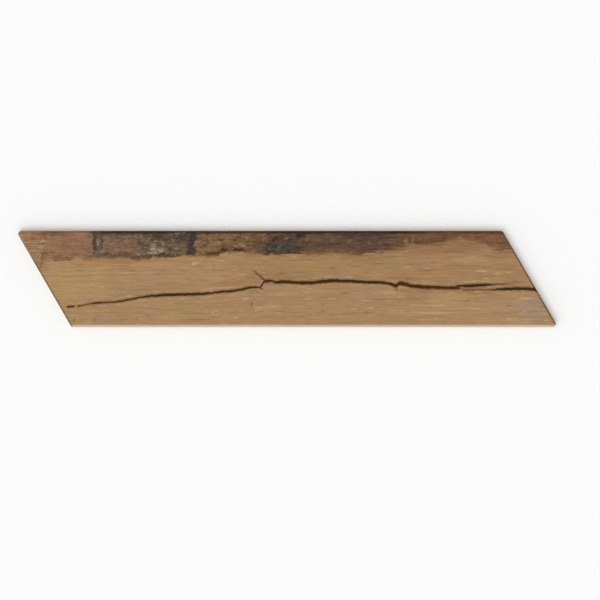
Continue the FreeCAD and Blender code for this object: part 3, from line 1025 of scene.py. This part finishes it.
def rimInkAndLight(bench, field, colour):
    # paler along both long sides: partly thinner print on the arris, partly a painted highlight
    thinInkAndHighlight = 1 - bench.ramp(field["side"], rims["arrisFrom"], tileMesh["arrisRadius"] + rims["arrisPast"])
    colour = bench.blend(thinInkAndHighlight * rims["arrisStrength"], colour, ink(*rims["arris"]))
    # painted shade along both cut ends
    endShade = 1 - bench.ramp(field["end"], *rims["endCut"])
    return bench.blend(endShade * rims["endStrength"], colour, ink(*rims["end"]))


def printedPart(bench, field):  # 1 on the print, 0 on the bare clay below its edge
    stray = bench.noise(field["x"], field["y"], rims["jag"]) * rims["stray"]
    edge = thickness / mm - rims["drop"] + stray
    return bench.ramp(field["z"] - edge, *rims["dropCut"])


body = {
    "inks": {"clay": (173, 153, 128), "grit": (122, 103, 84), "wash": (214, 206, 193)},
    "cloud": (30.0, 30.0, 81.0, 3.0, 0.5), "cloudShade": 0.3,
    "grit": (0.9, 0.9, 82.0, 2.0, 0.5),
    "darkGritCut": (0.1, 0.22), "darkGrit": 0.7,
    "paleGritCut": (0.1, 0.25), "paleGrit": 0.4,
    "ribCut": (0.05, 0.4),  # the height at which the kiln wash on the ribs ends
    "washCut": (-0.12, 0.2), "washGrit": 0.6, "washStrength": 0.75,
}


def firedClay(bench, field):
    x, y, z = field["x"], field["y"], field["z"]
    tint = mixInks(body["inks"])
    cloud = bench.noise(x, y, body["cloud"], z)
    grit = bench.noise(x, y, body["grit"], z)
    colour = bench.shade(tint["clay"], cloud * body["cloudShade"])
    colour = bench.blend(bench.ramp(grit, *body["darkGritCut"]) * body["darkGrit"], colour, tint["grit"])
    colour = bench.blend(bench.ramp(-grit, *body["paleGritCut"]) * body["paleGrit"], colour, tint["wash"])
    onRibs = 1 - bench.ramp(z, *body["ribCut"])
    dusted = onRibs * bench.ramp(cloud + grit * body["washGrit"], *body["washCut"])
    return bench.blend(dusted * body["washStrength"], colour, tint["wash"]), grit


def printedPorcelain():
    material = bpy.data.materials.new("printed_porcelain")
    material.use_nodes = True
    material.node_tree.nodes.clear()
    bench = Bench(material.node_tree)
    field = printFields(bench, bench.add("ShaderNodeTexCoord").output("Object"))
    x, y, worn = field["x"], field["y"], field["worn"]
    wood, fibre = oakPrint(bench, x, y)
    wood = rimInkAndLight(bench, field, wood)
    colour = bench.blend(worn, wood, weatheredPrint(bench, field))
    colour = inkSplit(bench, field, inkScratches(bench, x, y, colour))
    clay, grit = firedClay(bench, field)
    printed = printedPart(bench, field)
    inGap = bench.ramp(field["gap"], *glaze["splitCut"])
    faceRough = glaze["rough"] + worn * glaze["wornRough"] + inGap * glaze["splitRough"]
    faceRough = faceRough + fibre * glaze["fibreRough"]
    clayRough = glaze["clayRough"]
    height = fibre * printed * glaze["fibreBump"] + grit * (1 - printed)
    bump = bench.add("ShaderNodeBump", {}, {
        "Strength": glaze["bump"], "Distance": glaze["bumpDepth"] * mm, "Height": height})
    shader = bench.add("ShaderNodeBsdfPrincipled", {}, {
        "Base Color": bench.blend(printed, clay, colour),
        "Roughness": clayRough + printed * (faceRough - clayRough),
        "Normal": bump, "Specular IOR Level": glaze["specular"]})
    bench.add("ShaderNodeOutputMaterial", {}, {"Surface": shader})
    print(f"print mixed: {len(material.node_tree.nodes)} nodes")
    return material


# Floor, light and camera

studio = {
    "floor": (252, 252, 252),
    "floorReach": 6.0,  # metres
    "floorSides": 96,
    "skyStrength": 0.545,
    "skyLean": 0.4,  # how much brighter the sky is on the key's side
    "keyStrength": 0.45,  # share of the light on the face that comes from the key
    "keyElevation": 72.0,
    "keyAzimuth": -30.0,  # degrees to the right of straight below the picture
    "keySpread": 50.0,
    "cameraHeight": 3.0,  # metres
    "tilePixels": 538.0,  # the tile's length in the picture
    "tileMiddle": (287.0, 279.0),  # its middle there, in pixels from the upper left
    "picture": 600.0,  # pixels each way
}


def makeFloor():
    bpy.ops.mesh.primitive_circle_add(
        vertices=studio["floorSides"], radius=studio["floorReach"], fill_type="NGON")
    floor = bpy.context.object
    floor.name = "floor"
    material = bpy.data.materials.new("floor")
    material.use_nodes = True
    shader = material.node_tree.nodes["Principled BSDF"]
    shader.inputs["Base Color"].default_value = paint(*studio["floor"])
    shader.inputs["Roughness"].default_value = 1.0
    shader.inputs["Specular IOR Level"].default_value = 0.0
    floor.data.materials.append(material)


def makeSky(azimuth):  # brighter on the key's side, plain white where it is seen
    world = bpy.data.worlds.new("studio")
    bpy.context.scene.world = world
    world.use_nodes = True
    world.node_tree.nodes.clear()
    bench = Bench(world.node_tree)
    ray = bench.add("ShaderNodeLightPath")
    seen = bench.largest(ray.output("Is Camera Ray"), ray.output("Is Transmission Ray"))
    seen = bench.largest(seen, ray.output("Is Glossy Ray"))
    direction = bench.add("ShaderNodeTexCoord").output("Generated")
    axes = bench.add("ShaderNodeSeparateXYZ", {}, {0: direction})
    ahead = axes.output("X") * math.sin(azimuth) - axes.output("Y") * math.cos(azimuth)
    lit = studio["skyStrength"] * (1 + ahead * studio["skyLean"])
    strength = lit + seen * (1 - lit)
    sky = bench.add("ShaderNodeBackground", {}, {"Color": (1, 1, 1, 1), "Strength": strength})
    bench.add("ShaderNodeOutputWorld", {}, {"Surface": sky})


def makeKey(azimuth):
    elevation = math.radians(studio["keyElevation"])
    lamp = bpy.data.lights.new("key", "SUN")
    lamp.energy = studio["keyStrength"] * math.pi / math.sin(elevation)
    lamp.angle = math.radians(studio["keySpread"])
    key = bpy.data.objects.new("key", lamp)
    level = math.cos(elevation)
    towards = Vector((math.sin(azimuth) * level, -math.cos(azimuth) * level, math.sin(elevation)))
    key.rotation_euler = towards.to_track_quat("Z", "Y").to_euler()
    bpy.context.scene.collection.objects.link(key)


def makeCamera():
    lens = bpy.data.cameras.new("camera")
    camera = bpy.data.objects.new("camera", lens)
    pixel = (tileHigh.x - tileLow.x) / studio["tilePixels"]
    middle = studio["picture"] / 2
    aimX = (middle - studio["tileMiddle"][0]) * pixel
    aimY = -(middle - studio["tileMiddle"][1]) * pixel
    camera.location = (aimX, aimY, thickness + studio["cameraHeight"])
    lens.lens = lens.sensor_width * studio["cameraHeight"] / (pixel * studio["picture"])
    bpy.context.scene.collection.objects.link(camera)
    bpy.context.scene.camera = camera


bpy.context.scene.view_settings.view_transform = "Standard"
tile = makeTile(printedPorcelain())
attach(tile, "root")
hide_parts("chevron_tile")
makeFloor()
makeSky(math.radians(studio["keyAzimuth"]))
makeKey(math.radians(studio["keyAzimuth"]))
makeCamera()
print("studio set")
